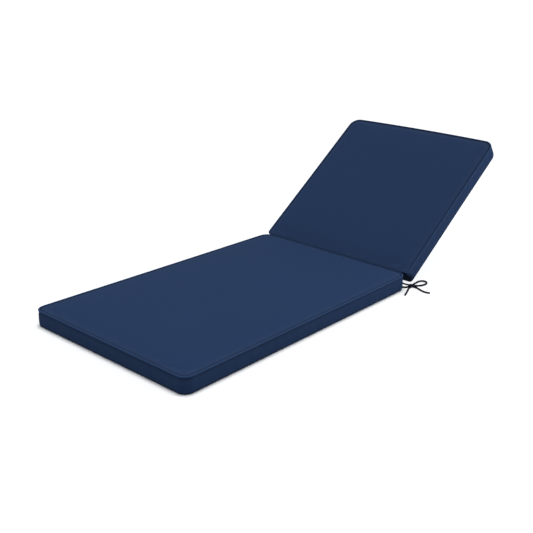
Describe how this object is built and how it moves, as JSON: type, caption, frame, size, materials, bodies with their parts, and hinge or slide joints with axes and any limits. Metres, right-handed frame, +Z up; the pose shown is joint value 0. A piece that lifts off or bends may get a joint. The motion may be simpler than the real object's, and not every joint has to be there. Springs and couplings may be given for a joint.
{
  "type": "sun lounger cushion",
  "caption": "Piped, boxed sun lounger cushion with a flat seat pad, a raised back pad hinged along the face seam, and a corner tie.",
  "frame": {"origin": "centre of the underside of the whole cushion's box without the tie, on the surface it lies on", "axes": "+Z up, +Y from the foot of the seat pad to the raised head, +X to the side with the tie"},
  "size_m": [0.7957, 1.6949, 0.4649],
  "materials": {
    "cover": "matt plain-woven outdoor cloth",
    "piping": "cord covered in the same cloth",
    "hinge": "the same cloth, folded to a tape",
    "tie": "round braided cord"
  },
  "bodies": {
    "root": {"seat_pad": "cover", "back_pad": "cover", "seat_piping": "piping", "back_piping": "piping", "hinge_tape": "hinge", "tie_upper_strand": "tie", "tie_lower_strand": "tie", "tie_right_end": "tie", "tie_left_end": "tie", "tie_bow_loop": "tie", "tie_knot": "tie"}
  },
  "joints": []
}
